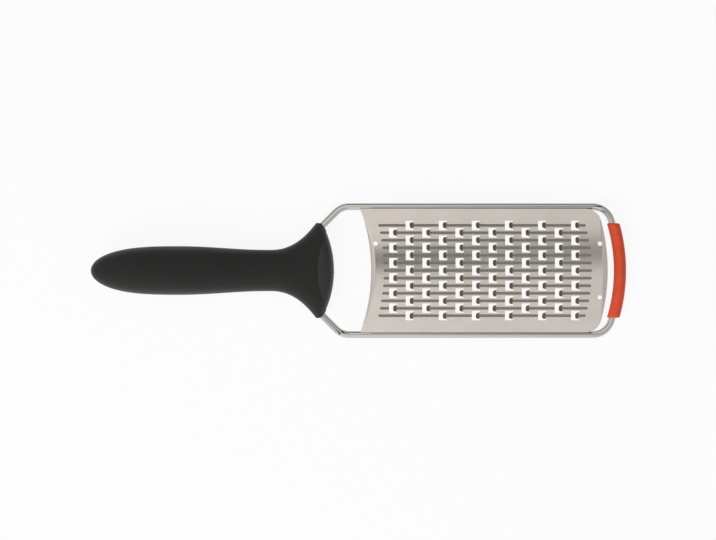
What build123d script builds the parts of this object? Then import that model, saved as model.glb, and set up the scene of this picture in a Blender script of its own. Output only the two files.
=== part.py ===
from build123d import *
import os
from math import asin, atan2, cos, degrees, radians, sin, sqrt, tan

# Rasp zester: a broad etched blade on a bent wire frame, with a soft grip and a non-slip foot.
# Sizes are in millimetres. The pieces are modelled with X = 0 at the tip of the handle's nose, +X towards
# the foot and the wire's centre line on Z = 0, and then laid down to rest on the grip's belly and the foot.

# Allowances
OVERRUN = 3.0
MOULD_GAP = 0.3
WIRE_FIT = 0.15
WELD_GAP = 0.05

# Handle: its sections are ellipses at shares of its length from the tail
HANDLE_LENGTH = 141.4
GRIP_HALF_WIDTH = 14.15
GRIP_HALF_HEIGHT = 11.0
NECK_HALF_WIDTH = 12.0
NECK_HALF_HEIGHT = 8.2
TAIL_ROUNDNESS = 3
BELLY_SHARE = 0.37
NECK_SHARE = 0.72
FLARE_START_SHARE = 0.735
FLARE_END_SHARE = 0.955
FLARE_SPREAD = 22.1
FLARE_RISE = 0.25
FLARE_POWER = 2.3
GRIP_SHARES = (0.004, 0.016, 0.04, 0.082, 0.15, 0.245, BELLY_SHARE, 0.53, 0.67)
FLARE_SHARES = (FLARE_START_SHARE, 0.78, 0.822, 0.86, 0.892, 0.923, FLARE_END_SHARE)

# Nose: a rounded edge swept round a centre behind it, with rounded corners. Its hard middle meets the
# grip along a crease that bows the other way, and is set back a little inside the grip.
NOSE_SWEEP_RADIUS = 58.0
NOSE_DEPTH = 12.0
NOSE_HALF_HEIGHT = 8.5
NOSE_HALF_WIDTH = 27.6
NOSE_CORNER_RADIUS = 4.5
NOSE_BLOCK_LENGTH = 36.0
NOSE_SET_BACK = 0.25
CREASE_GAP = 10.4
CREASE_RADIUS = 50.0

# Insert: the wall of grip over it thins from the neck to the rim
NECK_WALL = 3.0
RIM_WALL = 1.2
STEM_END_SHARE = 0.14

# Wire frame: it leaves the nose at an offset from the middle, and its rails lie outside the blade's edges
WIRE_RADIUS = 2.0
EXIT_OFFSET = 26.615
EDGE_INSET = 1.15
SHOULDER_ANGLE = 45
SHOULDER_RADIUS = 10.7
SHOULDER_GAP = 6.4
CORNER_RADIUS = 11.0
BOW_RADIUS = 95.0
BOW_GAP = 7.3
INNER_ANGLE = 65
ENTRY_BEND_RADIUS = 8.0
TAIL_OFFSET = 6.0
TAIL_BEND_RADIUS = 8.0
TAIL_END_X = -90.0

# Foot
FOOT_RADIUS = 3.6
FOOT_CORNER_GAP = 2.17

# Blade
SHEET = 0.5
ARCH_RADIUS = 105.0
BLADE_LENGTH = 137.4
BLADE_HALF_WIDTH = 36.0
START_BOW_RADIUS = 109.0
END_BOW_RADIUS = 115.0
END_CORNER_RADIUS = 9.0
LIP_ANGLE = 25
LIP_BURIED = 0.7
LIP_STATIONS = 9
START_LIP = 2.4
END_LIP_SHARE = 0.7535
START_LIP_INSET = 2.0
END_LIP_INSET = 6.0

# Rows of teeth: each row is a share of a tooth pitch on from the last
ROWS = 13
SIDE_MARGIN = 9.54
TEETH_IN_ROW = 6
STAGGER_SHARE = 0.5
FIRST_OPENING_GAP = 10.5
LAST_OPENING_GAP = 16.285
OPENING_LENGTH = 4.85
BRIDGE = 0.76
TOOTH_SIDE_GAP = 0.85
TOOTH_REACH = 2.55
TOOTH_TAPER = 0.4
TOOTH_CROWN = 0.75
TOOTH_RISE = 0.75
TOOTH_BURIED = 0.3
SKIN = 0.05
GROOVE_WIDTH = 1.6
GROOVE_DEPTH = 0.2
START_MARGIN = 7.2
END_MARGIN = 9.3

# Small round holes in the blade
HOLE_RADIUS = 1.25
HOLE_SPREAD_SHARE = 0.4333
START_HOLE_MARGIN = 2.6
END_HOLE_MARGIN = 4.6


def sag(radius, across):
    """How far a circle falls back from its tangent at a distance across."""
    return radius - sqrt(radius**2 - across**2)


# Places along the frame that follow from these sizes
TURN = radians(SHOULDER_ANGLE)
RAIL_OFFSET = BLADE_HALF_WIDTH + EDGE_INSET
SHOULDER_RISE = SHOULDER_RADIUS * (1 - cos(TURN))
SHOULDER_RUN = SHOULDER_RADIUS * sin(TURN)
SLOPE_RUN = (RAIL_OFFSET - SHOULDER_RISE - EXIT_OFFSET) / tan(TURN)
SHOULDER_X = SLOPE_RUN + SHOULDER_RUN - sag(NOSE_SWEEP_RADIUS, EXIT_OFFSET)
BLADE_START_X = SHOULDER_X + SHOULDER_GAP + sag(START_BOW_RADIUS, BLADE_HALF_WIDTH)
BLADE_END_X = BLADE_START_X + BLADE_LENGTH
BOW_X = BLADE_END_X + BOW_GAP
BOW_TURN = asin((RAIL_OFFSET - CORNER_RADIUS) / (BOW_RADIUS - CORNER_RADIUS))

# Spacing of the teeth that follows from them
OPENINGS_SPAN = BLADE_LENGTH - FIRST_OPENING_GAP - LAST_OPENING_GAP - OPENING_LENGTH
TOOTH_PITCH = OPENINGS_SPAN / (TEETH_IN_ROW - 1 + STAGGER_SHARE)
ROW_PITCH = (BLADE_HALF_WIDTH - SIDE_MARGIN) / (ROWS // 2)
OPENING_WIDTH = 2 * (ROW_PITCH - BRIDGE) - GROOVE_WIDTH
TOOTH_WIDTH = OPENING_WIDTH - 2 * TOOTH_SIDE_GAP


def handle_section(share, wall=0):
    """The handle's elliptical section at a share of its length, less a wall of grip round it."""
    x = HANDLE_LENGTH * (share - 1)
    tail = sqrt(1 - max(0, 1 - share / BELLY_SHARE) ** TAIL_ROUNDNESS)
    along = min(max(0, (share - BELLY_SHARE) / (NECK_SHARE - BELLY_SHARE)), 1)
    necking = along**2 * (3 - 2 * along)
    flare = max(0, (share - FLARE_START_SHARE) / (FLARE_END_SHARE - FLARE_START_SHARE))
    half_width = tail * (GRIP_HALF_WIDTH + necking * (NECK_HALF_WIDTH - GRIP_HALF_WIDTH))
    half_height = tail * (GRIP_HALF_HEIGHT + necking * (NECK_HALF_HEIGHT - GRIP_HALF_HEIGHT))
    half_width += FLARE_SPREAD * flare**FLARE_POWER
    half_height += FLARE_RISE * flare**2
    return Plane.YZ.offset(x) * Ellipse(half_width - wall, half_height - wall)


def ahead(section):
    """The handle's widest section drawn out past the front of the nose."""
    return extrude(section, amount=HANDLE_LENGTH * (1 - FLARE_END_SHARE) + OVERRUN)


def handle_body():
    """The handle's outside: a rounded tail, a full belly, a neck and a wide flare."""
    tip = Vertex(-HANDLE_LENGTH, 0, 0)
    body = loft([tip] + [handle_section(share) for share in GRIP_SHARES + FLARE_SHARES])
    return body + ahead(handle_section(FLARE_END_SHARE))


def ahead_of_nose(set_back=0):
    """The space round the nose, which trims the flare to its rounded, bowed front and corners."""
    edge = Ellipse(NOSE_DEPTH - set_back, NOSE_HALF_HEIGHT - set_back)
    middle = NOSE_SWEEP_RADIUS - NOSE_DEPTH
    plate = Rectangle(middle, 2 * (NOSE_HALF_HEIGHT - set_back), align=(Align.MIN, Align.CENTER))
    right = Rectangle(NOSE_SWEEP_RADIUS, 2 * NOSE_HALF_HEIGHT, align=(Align.MIN, Align.CENTER))
    profile = plate + (Pos(middle, 0) * edge & right)
    plan = Circle(NOSE_SWEEP_RADIUS - set_back)
    plan &= Rectangle(2 * NOSE_SWEEP_RADIUS, 2 * (NOSE_HALF_WIDTH - set_back))
    plan = fillet(plan.vertices().sort_by(Axis.X)[-2:], NOSE_CORNER_RADIUS - set_back)
    lens = revolve(Plane.XZ * profile, Axis.Z) & extrude(plan, GRIP_HALF_HEIGHT, both=True)
    block = Pos(-NOSE_BLOCK_LENGTH, 0, 0) * Box(
        NOSE_BLOCK_LENGTH + OVERRUN,
        2 * NOSE_SWEEP_RADIUS,
        2 * (GRIP_HALF_HEIGHT + OVERRUN),
        align=(Align.MIN, Align.CENTER, Align.CENTER),
    )
    return block - Pos(-NOSE_SWEEP_RADIUS, 0, 0) * lens


def ahead_of_crease(gap=0):
    """The space of the hard nose in front of the crease, less a gap."""
    return Pos(CREASE_RADIUS - CREASE_GAP, 0, 0) * Cylinder(CREASE_RADIUS - gap, 2 * CREASE_RADIUS)


def insert_body(growth=0):
    """The insert inside the grip: a stem, and a fan that fills the flare but for its wall."""
    sections = []
    for share in FLARE_SHARES:
        along = (share - FLARE_START_SHARE) / (FLARE_END_SHARE - FLARE_START_SHARE)
        wall = NECK_WALL + along * (RIM_WALL - NECK_WALL)
        sections.append(handle_section(share, wall - growth))
    stem_length = HANDLE_LENGTH * (FLARE_START_SHARE - STEM_END_SHARE) + growth
    stem = extrude(sections[0], amount=-stem_length)
    return stem + loft(sections, ruled=True) + ahead(sections[-1]) - ahead_of_nose(RIM_WALL - growth)


def wire_path():
    """The wire's centre line, from the end of one tail round the frame to the end of the other."""
    shoulder = (SHOULDER_X - SHOULDER_RUN, RAIL_OFFSET - SHOULDER_RISE)
    steep = radians(INNER_ANGLE)
    inner_x = -sag(NOSE_SWEEP_RADIUS, EXIT_OFFSET) - ENTRY_BEND_RADIUS * (sin(steep) - sin(TURN))
    inner_y = EXIT_OFFSET - ENTRY_BEND_RADIUS * (cos(TURN) - cos(steep))
    tail_rise = TAIL_BEND_RADIUS * (1 - cos(steep))
    steep_run = (inner_y - TAIL_OFFSET - tail_rise) / tan(steep)
    tail_bend_x = inner_x - steep_run - TAIL_BEND_RADIUS * sin(steep)
    corner_x = BOW_X - BOW_RADIUS + (BOW_RADIUS - CORNER_RADIUS) * cos(BOW_TURN)

    tail = Line((TAIL_END_X, TAIL_OFFSET), (tail_bend_x, TAIL_OFFSET))
    tail_bend = JernArc(tail @ 1, tail % 1, TAIL_BEND_RADIUS, INNER_ANGLE)
    steep_line = Line(tail_bend @ 1, (inner_x, inner_y))
    entry_bend = JernArc(steep_line @ 1, steep_line % 1, ENTRY_BEND_RADIUS, SHOULDER_ANGLE - INNER_ANGLE)
    slope = Line(entry_bend @ 1, shoulder)
    shoulder_bend = JernArc(slope @ 1, slope % 1, SHOULDER_RADIUS, -SHOULDER_ANGLE)
    rail = Line(shoulder_bend @ 1, (corner_x, RAIL_OFFSET))
    corner = JernArc(rail @ 1, rail % 1, CORNER_RADIUS, degrees(BOW_TURN) - 90)
    half = [tail, tail_bend, steep_line, entry_bend, slope, shoulder_bend, rail, corner]
    bow = JernArc(corner @ 1, corner % 1, BOW_RADIUS, -2 * degrees(BOW_TURN))
    other_half = mirror(Curve() + half, Plane.XZ)
    return Wire((Curve() + half + bow + other_half).edges())


def wire_solid(growth=0):
    """The bent wire, or with a growth the channel that it lies in."""
    start = Plane((TAIL_END_X, TAIL_OFFSET, 0), z_dir=(1, 0, 0))
    return sweep(start * Circle(WIRE_RADIUS + growth), path=wire_path())


def end_foot():
    """The non-slip sleeve round the middle of the bow, with square ends."""
    half_turn = degrees(BOW_TURN - FOOT_CORNER_GAP / BOW_RADIUS)
    ring = Circle(FOOT_RADIUS) - Circle(WIRE_RADIUS + WIRE_FIT)
    sleeve = revolve(Plane.XZ * Pos(BOW_RADIUS, 0) * ring, Axis.Z, revolution_arc=2 * half_turn)
    return Pos(BOW_X - BOW_RADIUS, 0, 0) * Rot(0, 0, -half_turn) * sleeve


def arch_centre_z():
    """Height of the blade's arch axis, which sets the sheet's two long edges down on the rails."""
    inward = RAIL_OFFSET - BLADE_HALF_WIDTH
    edge_z = sqrt((WIRE_RADIUS + WELD_GAP) ** 2 - inward**2)
    return edge_z - sqrt((ARCH_RADIUS - SHEET) ** 2 - BLADE_HALF_WIDTH**2)


def start_edge_x(y):
    """The blade's hollow edge beside the handle."""
    return BLADE_START_X - sag(START_BOW_RADIUS, y)


def end_edge_x(y):
    """The blade's bowed edge beside the foot."""
    return BLADE_END_X - sag(END_BOW_RADIUS, y)


def fold_radius(depth, reach):
    """Radius of a fold line that sags by depth at a distance reach from the middle."""
    return (reach**2 + depth**2) / (2 * depth)


START_LIP_REACH = BLADE_HALF_WIDTH - START_LIP_INSET
END_LIP_REACH = BLADE_HALF_WIDTH - END_LIP_INSET
START_FOLD_X = BLADE_START_X + START_LIP
END_FOLD_X = BLADE_END_X - END_LIP_SHARE * sag(END_BOW_RADIUS, END_LIP_REACH)
START_FOLD_RADIUS = fold_radius(START_FOLD_X - start_edge_x(START_LIP_REACH), START_LIP_REACH)
END_FOLD_RADIUS = fold_radius(END_FOLD_X - end_edge_x(END_LIP_REACH), END_LIP_REACH)


def blade_plan():
    """The flat part of the blade seen from above, out to the two fold lines."""
    length = BLADE_END_X - start_edge_x(BLADE_HALF_WIDTH)
    plan = Pos(BLADE_END_X, 0) * Rectangle(length, 2 * BLADE_HALF_WIDTH, align=(Align.MAX, Align.CENTER))
    plan -= Pos(BLADE_START_X - START_BOW_RADIUS, 0) * Circle(START_BOW_RADIUS)
    plan &= Pos(BLADE_END_X - END_BOW_RADIUS, 0) * Circle(END_BOW_RADIUS)
    plan = fillet(plan.vertices().sort_by(Axis.X)[-2:], END_CORNER_RADIUS)
    plan -= Pos(START_FOLD_X - START_FOLD_RADIUS, 0) * Circle(START_FOLD_RADIUS)
    plan &= Pos(END_FOLD_X - END_FOLD_RADIUS, 0) * Circle(END_FOLD_RADIUS)
    return plan


def sheet_top(y):
    """Height of the blade's upper face."""
    return arch_centre_z() + sqrt(ARCH_RADIUS**2 - y**2)


def lip(edge_x, fold_x, reach, buried):
    """A turned-down lip, lofted across the blade between its fold line and its curved edge."""
    sections = []
    for i in range(LIP_STATIONS):
        y = reach * (2 * i / (LIP_STATIONS - 1) - 1)
        fold, edge = fold_x(y), edge_x(y)
        top = sheet_top(y) - SKIN
        bottom = sheet_top(y) - SHEET + SKIN
        drop = abs(fold - edge) * tan(radians(LIP_ANGLE))
        points = [
            (fold + buried, y, top),
            (fold, y, top),
            (edge, y, top - drop),
            (edge, y, bottom - drop),
            (fold, y, bottom),
            (fold + buried, y, bottom),
        ]
        sections.append(Wire(Polyline(*points, close=True).edges()))
    return Solid.make_loft(sections)


def start_lip():
    """The lip beside the handle."""
    return lip(
        start_edge_x,
        lambda y: START_FOLD_X - sag(START_FOLD_RADIUS, y),
        START_LIP_REACH - LIP_BURIED,
        LIP_BURIED,
    )


def end_lip():
    """The lip beside the foot."""
    return lip(
        end_edge_x,
        lambda y: END_FOLD_X - sag(END_FOLD_RADIUS, y),
        END_LIP_REACH - LIP_BURIED,
        -LIP_BURIED,
    )


def tooth():
    """One cutting tooth: a rounded tongue that rises and thins to a sharp tip."""
    side = [
        (TOOTH_BURIED, -SHEET / 2),
        (0, -SKIN),
        (-TOOTH_REACH, TOOTH_RISE),
        (0, SKIN - SHEET),
        (TOOTH_BURIED, SKIN - SHEET),
    ]
    wedge = extrude(Plane.XZ * make_face(Polyline(*side, close=True)), TOOTH_WIDTH, both=True)
    root = TOOTH_WIDTH / 2
    tip = root - TOOTH_TAPER
    crown_x = TOOTH_CROWN - TOOTH_REACH
    crown = ThreePointArc((crown_x, tip), (-TOOTH_REACH, 0), (crown_x, -tip))
    sides = Polyline(crown @ 1, (0, -root), (TOOTH_BURIED, -root), (TOOTH_BURIED, root), (0, root), crown @ 0)
    outline = make_face([crown, sides])
    return wedge & Pos(0, 0, -SHEET) * extrude(outline, 2 * SHEET + TOOTH_RISE)


def row_place(row):
    """The place on top of the arch of one row, counted from the middle row."""
    turn = degrees(row * ROW_PITCH / ARCH_RADIUS)
    return Pos(0, 0, arch_centre_z()) * Rot(turn, 0, 0) * Pos(0, 0, ARCH_RADIUS)


def row_teeth_x(row):
    """Where the openings of a row start, with every other row shifted."""
    first = BLADE_START_X + FIRST_OPENING_GAP
    if row % 2 == 0:
        first += STAGGER_SHARE * TOOTH_PITCH
    return [first + i * TOOTH_PITCH for i in range(TEETH_IN_ROW)]


def opening():
    """The window in front of a tooth, cut through the sheet."""
    window = Rectangle(OPENING_LENGTH, OPENING_WIDTH, align=(Align.MIN, Align.CENTER))
    return Pos(0, 0, -SHEET - OVERRUN) * extrude(window, SHEET + 2 * OVERRUN)


def groove(row):
    """The half-etched groove along one row, which ends a margin short of the blade's bowed ends."""
    y = ARCH_RADIUS * sin(row * ROW_PITCH / ARCH_RADIUS)
    start = BLADE_START_X + START_MARGIN - sag(START_BOW_RADIUS + START_MARGIN, y)
    end = BLADE_END_X - END_MARGIN - sag(END_BOW_RADIUS - END_MARGIN, y)
    slot = Pos((start + end) / 2, 0) * SlotOverall(end - start, GROOVE_WIDTH)
    return Pos(0, 0, -GROOVE_DEPTH) * extrude(slot, GROOVE_DEPTH + OVERRUN)


def hole_pins():
    """One pin for each small round hole in the blade."""
    pin = Cylinder(HOLE_RADIUS, SHEET + 2 * OVERRUN)
    turn = degrees(asin(HOLE_SPREAD_SHARE * BLADE_HALF_WIDTH / ARCH_RADIUS))
    start_x = BLADE_START_X + START_HOLE_MARGIN
    end_x = BLADE_END_X - END_HOLE_MARGIN
    centre = Pos(0, 0, arch_centre_z())
    places = ((start_x, -turn), (end_x, -turn), (end_x, turn))
    return [centre * Rot(lean, 0, 0) * Pos(x, 0, ARCH_RADIUS) * pin for x, lean in places]


def grater_blade():
    """The etched blade: an arched sheet with windows, raised teeth, grooves, holes and end lips."""
    length = 2 * (BLADE_END_X + OVERRUN)
    along_x = Pos(0, 0, arch_centre_z()) * Rot(0, 90, 0)
    arch = along_x * (Cylinder(ARCH_RADIUS, length) - Cylinder(ARCH_RADIUS - SHEET, length))
    blade = arch & extrude(blade_plan(), ARCH_RADIUS)

    rows = range(-(ROWS // 2), ROWS // 2 + 1)
    window, tongue = opening(), tooth()
    windows = [row_place(row) * Pos(x, 0, 0) * window for row in rows for x in row_teeth_x(row)]
    blade = blade.cut(*windows)
    blade = blade.cut(*[row_place(row) * groove(row) for row in rows])

    root = OPENING_LENGTH
    teeth = [row_place(row) * Pos(x + root, 0, 0) * tongue for row in rows for x in row_teeth_x(row)]
    return blade.fuse(start_lip(), end_lip(), *teeth).cut(*hole_pins())


def handle_grip():
    """The soft grip, hollow for the insert and open at the front."""
    shell = handle_body() - ahead_of_nose() - ahead_of_crease()
    return shell - insert_body(MOULD_GAP) - wire_solid(WIRE_FIT)


def handle_core():
    """The hard insert, moulded round the wire's tails, with the nose that closes the flare."""
    nose = (handle_body() & ahead_of_crease(MOULD_GAP)) - ahead_of_nose(NOSE_SET_BACK)
    return insert_body() + nose - wire_solid(WIRE_FIT)


def laid_down(pieces):
    """Tips the zester on to its belly and foot, and centres it over the origin."""
    belly_x = HANDLE_LENGTH * (BELLY_SHARE - 1)
    tilt = degrees(atan2(GRIP_HALF_HEIGHT - FOOT_RADIUS, BOW_X - belly_x))
    tipped = {name: Rot(0, tilt, 0) * piece for name, piece in pieces.items()}
    boxes = [piece.bounding_box() for piece in tipped.values()]
    tail_x = min(box.min.X for box in boxes)
    foot_x = max(box.max.X for box in boxes)
    lowest = min(box.min.Z for box in boxes)
    move = Pos(-(tail_x + foot_x) / 2, 0, -lowest)
    return {name: move * piece for name, piece in tipped.items()}


os.makedirs("parts", exist_ok=True)
zester = laid_down(
    {
        "handle_grip": handle_grip(),
        "handle_core": handle_core(),
        "wire_frame": wire_solid(),
        "grater_blade": grater_blade(),
        "end_foot": end_foot(),
    }
)
for name, piece in zester.items():
    export_step(piece, f"parts/{name}.step")
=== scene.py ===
from math import asin, atan2, cos, pi, radians, sin, sqrt, tan

import bpy
from bpy.props import FloatProperty, FloatVectorProperty, IntProperty, PointerProperty
from bpy.types import Operator, Panel, PropertyGroup
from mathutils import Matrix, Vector


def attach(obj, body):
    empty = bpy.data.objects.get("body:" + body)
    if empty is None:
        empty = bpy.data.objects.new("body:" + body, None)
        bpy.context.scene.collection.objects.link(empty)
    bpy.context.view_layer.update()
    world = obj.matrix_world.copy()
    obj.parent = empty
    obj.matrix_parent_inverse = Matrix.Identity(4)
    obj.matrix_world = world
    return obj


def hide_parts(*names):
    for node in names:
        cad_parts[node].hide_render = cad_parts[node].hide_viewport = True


bl_info = {
    "name": "Rasp Zester",
    "version": (1, 0, 0),
    "blender": (4, 5, 0),
    "location": "3D View > Sidebar > Zester",
    "description": "Dresses the rasp zester's solids with its etched blade, grip, foot and finishes",
    "category": "Add Mesh",
}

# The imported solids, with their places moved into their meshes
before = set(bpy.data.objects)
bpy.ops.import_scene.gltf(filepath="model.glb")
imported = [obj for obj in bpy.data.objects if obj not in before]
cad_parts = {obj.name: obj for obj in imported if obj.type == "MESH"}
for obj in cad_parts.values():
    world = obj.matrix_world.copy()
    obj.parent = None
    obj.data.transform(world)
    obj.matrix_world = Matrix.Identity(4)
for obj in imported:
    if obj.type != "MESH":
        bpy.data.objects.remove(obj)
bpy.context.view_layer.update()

MM = 0.001

# Vertices closer than this are one, and a place on a piece is found to within the slack
TOUCH = 1e-6
SLACK = 0.02 * MM

# The tool is shaped with X = 0 at the nose's tip and Z = 0 on the wire's middle line, and then laid down
BELLY_SHARE = 0.37
NOSE_TIP = (-13.953 * MM, 0.0, 8.423 * MM)
RAIL_Y = 37.15 * MM
BLADE_START = 21.016 * MM
BOW_X = 165.716 * MM
BOW_RADIUS = 95.0 * MM
WIRE_RADIUS = 2.05 * MM
WIRE_HOLE = 2.15 * MM

# Handle sections, as shares of its length from the tail
NECK_SHARE = 0.72
FLARE_START_SHARE = 0.735
FLARE_END_SHARE = 0.955
FLARE_POWER = 2.3
STEM_END_SHARE = 0.14
NECK_WALL = 3.0 * MM
RIM_WALL = 1.2 * MM
MOULD_GAP = 0.3 * MM

# Rings along the grip: in its tail, which they crowd into, in its neck, in its flare and in the pocket
TAIL_RINGS = 26
TAIL_CROWDING = 2.2
NECK_RINGS = 18
FLARE_RINGS = 22
POCKET_RINGS = 20
GRIP_SIDES = 96

# Nose: a rounded edge swept round a centre behind it, with rounded corners and a crease across
NOSE_SWEEP = 58.0 * MM
NOSE_DEPTH = 12.0 * MM
NOSE_HALF_HEIGHT = 8.5 * MM
NOSE_HALF_WIDTH = 27.6 * MM
NOSE_CORNER = 4.5 * MM
NOSE_BLOCK = 36.0 * MM
PAST_NOSE = 3.0 * MM
CREASE_GAP = 10.4 * MM
CREASE_RADIUS = 50.0 * MM
CREASE_ROUND = 49.8 * MM
CREASE_LENGTH = 40.0 * MM
CREASE_SIDES = 256
NOSE_HUB = 5.0 * MM
NOSE_SPACE = (4.0 * MM, 84.0 * MM, 32.0 * MM)
NOSE_CORNER_STEPS = 16
NOSE_FRONT_STEPS = 90
NOSE_EDGE_STEPS = 64
NOSE_TURN_STEPS = 120
WIRE_EXIT = (-6.469 * MM, 26.615 * MM)
WIRE_HOLE_LENGTH = 13.0 * MM
WIRE_HOLE_SIDES = 48

# Blade: the fold lines of its two turned-down lips, and its small round holes
START_LIP = 2.4 * MM
START_LIP_REACH = 34.0 * MM
END_LIP = 3.0 * MM
END_LIP_REACH = 30.0 * MM
LIP_SLOPE = tan(radians(25))
FOLD_ROUND = 0.8 * MM
HOLE_Y = 15.6 * MM
START_HOLE_MARGIN = 2.6 * MM
END_HOLE_MARGIN = 4.6 * MM

# Flat sheet: strips across it, lines close together near its two ends, and the steps of its outline
SHEET_STRIPS = 98
LINE_STEP = 0.4 * MM
FIRST_LINE = 13.6 * MM
START_LINES = 29
END_LINES = 26
PAST_END = 0.6 * MM
CORNER_STEPS = 14
BOW_STEPS = 80
OUTLINE_REACH = 3.0 * MM

# Openings: a bar across the row and an arm on each side of the tooth
FIRST_OPENING = 10.5 * MM
BAR_WIDTH = 2.3 * MM
ARM_WIDTH = 0.85 * MM
OPENING_CORNER = 0.35 * MM
TOOTH_TIP_HALF = 1.6 * MM
TOOTH_NOSE_ROUND = 1.25 * MM
ARM_STEPS = 6
TOOTH_NOSE_STEPS = 5
OPENING_CORNER_STEPS = 3
PUNCH_REACH = 2.0 * MM
HOLE_SIDES = 36
GROOVE_START_MARGIN = 7.2 * MM
GROOVE_END_MARGIN = 9.3 * MM
GROOVE_STEPS = 10

# Teeth: lines at which each bends, measured back from its root; its curve; what its tip loses from below;
# how much of a pitch past a root still counts as that tooth; and, for its tip's etched steel darkened
# further as painted shade, the share of its length past which that starts, how steep a face it takes, and
# its tone
TOOTH_BENDS = (1.3 * MM, 0.6 * MM, 0.0, -0.15 * MM)
TOOTH_CURVE = 1.3
TIP_THINNING = 0.22 * MM
NEXT_TOOTH = 0.45
TIP_SHARE = 0.2
TIP_FACING = 0.5
TIP_SHADE_TONE = 0.6

# Levels of the soft room along three axes, each from one side of it (0) to the other (1): a dark strip
# overhead, walls that are darker near the floor, and a ceiling that falls off towards the foot
ROOM_LEVELS = (
    ((-2, 1, 0), ((0.44, 1.0), (0.457, 0.05), (0.543, 0.05), (0.56, 1.0))),
    ((0, -0.4, 1), ((0.5, 0.05), (0.56, 0.07), (0.64, 1.0))),
    ((1, 0, 0), ((0.2, 0.72), (0.36, 1.0), (0.53, 1.0), (0.56, 0.78), (0.62, 0.68), (0.9, 0.6))),
)

# Soft lamps: their size, and the name, place and share of the lamp power of each
LAMP_SIZE = 0.9
LAMPS = (("key_lamp", (-0.8, -0.9, 0.8), 1.0), ("fill_lamp", (0.2, -1.3, 0.7), 0.14))

# Floor: its size, its place just under the tool, and how far it shows as plain white
FLOOR_SIZE = 24.0
FLOOR_DROP = 0.05 * MM
FLOOR_GLOW = 0.9

# Foot: how far its middle line stands outside the wire's, and its rings and sides
FOOT_OFFSET = 0.5 * MM
FOOT_END_RINGS = 8
FOOT_MIDDLE_RINGS = 40
FOOT_SIDES = 64

# Painted shade on the rails beside the blade's edge: how far from the middle line it ends, how soon it
# fades, and its tone
CONTACT_SHADE_Y = 36.5 * MM
CONTACT_SHADE_FADE = 0.25 * MM
CONTACT_SHADE_TONE = 0.4

# Camera: its place over the tool, how far it sees, and the width of its sensor
CAMERA_X = -0.3 * MM
CAMERA_Y = 0.3 * MM
CAMERA_RISE = 12.0 * MM
SENSOR_WIDTH = 36.0
CAMERA_REACH = 60.0


class ZesterBladeSizes(PropertyGroup):
    """Sizes of the etched blade."""

    sheet: FloatProperty(
        name="Sheet", description="Thickness of the steel sheet", default=0.5 * MM, unit="LENGTH"
    )
    arch_radius: FloatProperty(
        name="Arch radius", description="Radius of the blade's upper face",
        default=105 * MM, unit="LENGTH",
    )
    half_width: FloatProperty(
        name="Half width", description="Half the blade's width", default=36 * MM, unit="LENGTH"
    )
    length: FloatProperty(
        name="Length", description="Length of the blade on its middle line",
        default=137.4 * MM, unit="LENGTH",
    )
    start_bow: FloatProperty(
        name="Start bow", description="Radius of the hollow end", default=109 * MM, unit="LENGTH"
    )
    end_bow: FloatProperty(
        name="End bow", description="Radius of the bowed end", default=115 * MM, unit="LENGTH"
    )
    corner: FloatProperty(
        name="Corner", description="Radius of the corners beside the foot", default=9 * MM, unit="LENGTH"
    )
    rows: IntProperty(name="Rows", description="Rows of teeth across the blade", default=13)
    row_pitch: FloatProperty(
        name="Row pitch", description="Distance between rows", default=4.41 * MM, unit="LENGTH"
    )
    teeth: IntProperty(name="Teeth", description="Teeth in a row", default=6)
    tooth_pitch: FloatProperty(
        name="Tooth pitch", description="Distance between teeth in a row",
        default=19.23 * MM, unit="LENGTH",
    )
    opening_length: FloatProperty(
        name="Opening length", description="Length of an opening, arms included",
        default=4.85 * MM, unit="LENGTH",
    )
    opening_width: FloatProperty(
        name="Opening width", description="Width of an opening across the row",
        default=5.7 * MM, unit="LENGTH",
    )
    tooth_rise: FloatProperty(
        name="Tooth rise", description="Height of a tooth's tip over the sheet",
        default=0.75 * MM, unit="LENGTH",
    )
    groove_width: FloatProperty(
        name="Groove width", description="Width of an etched groove", default=1.6 * MM, unit="LENGTH"
    )
    groove_depth: FloatProperty(
        name="Groove depth", description="Depth of an etched groove", default=0.2 * MM, unit="LENGTH"
    )
    hole_radius: FloatProperty(
        name="Hole radius", description="Radius of the small round holes",
        default=1.25 * MM, unit="LENGTH",
    )


class ZesterHandleSizes(PropertyGroup):
    """Sizes of the grip and of the foot."""

    length: FloatProperty(
        name="Length", description="Handle from its tail to the nose's tip",
        default=141.4 * MM, unit="LENGTH",
    )
    half_width: FloatProperty(
        name="Belly half width", description="Half the grip's width", default=14.15 * MM, unit="LENGTH"
    )
    half_height: FloatProperty(
        name="Belly half height", description="Half the grip's height", default=11 * MM, unit="LENGTH"
    )
    neck_half_width: FloatProperty(
        name="Neck half width", description="Half the neck's width", default=12 * MM, unit="LENGTH"
    )
    neck_half_height: FloatProperty(
        name="Neck half height", description="Half the neck's height", default=8.2 * MM, unit="LENGTH"
    )
    flare: FloatProperty(
        name="Flare", description="What the flare adds to the neck's half width",
        default=22.1 * MM, unit="LENGTH",
    )
    flare_rise: FloatProperty(
        name="Flare rise", description="What the flare adds to the half height",
        default=0.25 * MM, unit="LENGTH",
    )
    foot_radius: FloatProperty(
        name="Foot radius", description="Radius of the sleeve on the bow",
        default=3.6 * MM, unit="LENGTH",
    )
    foot_half_length: FloatProperty(
        name="Foot half length", description="Half the sleeve's length", default=27.9 * MM, unit="LENGTH"
    )
    foot_round: FloatProperty(
        name="Foot round", description="Rounding of the sleeve's ends", default=0.9 * MM, unit="LENGTH"
    )


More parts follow.
